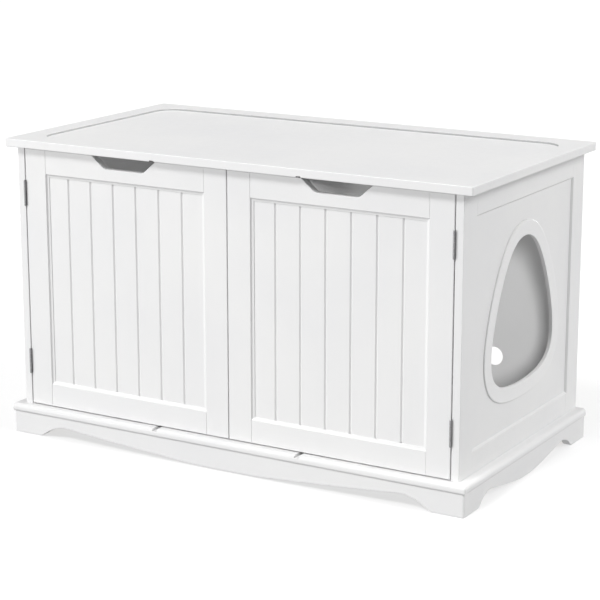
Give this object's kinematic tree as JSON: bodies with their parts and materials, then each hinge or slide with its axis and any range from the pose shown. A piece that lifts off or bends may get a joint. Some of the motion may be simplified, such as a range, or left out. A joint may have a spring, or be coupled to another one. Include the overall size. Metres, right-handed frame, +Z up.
{
  "type": "litter box enclosure",
  "caption": "Low white bench cabinet that hides a cat litter box: hinged beadboard doors, egg-shaped side entrance, tray-like top and scalloped plinth.",
  "frame": {"origin": "on the floor, under the middle of the object's box", "axes": "+X to the side with the cat entrance, -Y to the doors, +Z up"},
  "size_m": [0.94, 0.514, 0.5545],
  "materials": {
    "painted_board": "satin white paint on fibreboard",
    "painted_trim": "satin white paint on a moulded ring",
    "back_sheet": "thin white-faced hardboard",
    "raw_wood": "bare wood",
    "hinge_metal": "dull nickel",
    "screw_metal": "zinc plated",
    "strike_metal": "stamped steel",
    "fitting_metal": "die-cast zinc alloy",
    "magnet": "sintered ferrite",
    "catch_plastic": "moulded"
  },
  "bodies": {
    "carcass": {"back_panel": "back_sheet", "back_panel_screws": "screw_metal", "base_corner_blocks": "raw_wood", "base_screws": "screw_metal", "bottom_board": "painted_board", "cam_bolts": "screw_metal", "cam_nuts": "fitting_metal", "catch_magnets": "magnet", "catch_screws": "screw_metal", "divider_panel": "painted_board", "door_catches": "catch_plastic", "entry_ring": "painted_trim", "frame_hinge_screws": "screw_metal", "front_apron": "painted_board", "left_apron": "painted_board", "left_bottom_rail": "painted_board", "left_field_panel": "painted_board", "left_frame_hinge_leaves": "hinge_metal", "left_front_stile": "painted_board", "left_hinge_pins": "hinge_metal", "left_rear_stile": "painted_board", "left_top_rail": "painted_board", "rear_apron": "painted_board", "right_apron": "painted_board", "right_bottom_rail": "painted_board", "right_entry_panel": "painted_board", "right_frame_hinge_leaves": "hinge_metal", "right_front_stile": "painted_board", "right_hinge_pins": "hinge_metal", "right_rear_stile": "painted_board", "right_top_rail": "painted_board", "top_board": "painted_board", "wood_dowels": "raw_wood"},
    "left_door": {"left_door_bottom_rail": "painted_board", "left_door_hinge_leaves": "hinge_metal", "left_door_hinge_screws": "screw_metal", "left_door_hinge_stile": "painted_board", "left_door_meeting_stile": "painted_board", "left_door_panel": "painted_board", "left_door_strike_plate": "strike_metal", "left_door_strike_screws": "screw_metal", "left_door_top_rail": "painted_board"},
    "right_door": {"right_door_bottom_rail": "painted_board", "right_door_hinge_leaves": "hinge_metal", "right_door_hinge_screws": "screw_metal", "right_door_hinge_stile": "painted_board", "right_door_meeting_stile": "painted_board", "right_door_panel": "painted_board", "right_door_strike_plate": "strike_metal", "right_door_strike_screws": "screw_metal", "right_door_top_rail": "painted_board"}
  },
  "joints": [
    {"name": "left_door_hinge", "type": "hinge", "parent": "carcass", "child": "left_door", "pos_m": [-0.4342, -0.2424, 0.2968], "axis": [0, 0, -1], "range_deg": [0, 170]},
    {"name": "right_door_hinge", "type": "hinge", "parent": "carcass", "child": "right_door", "pos_m": [0.4342, -0.2424, 0.2968], "axis": [0, 0, 1], "range_deg": [0, 170]}
  ]
}
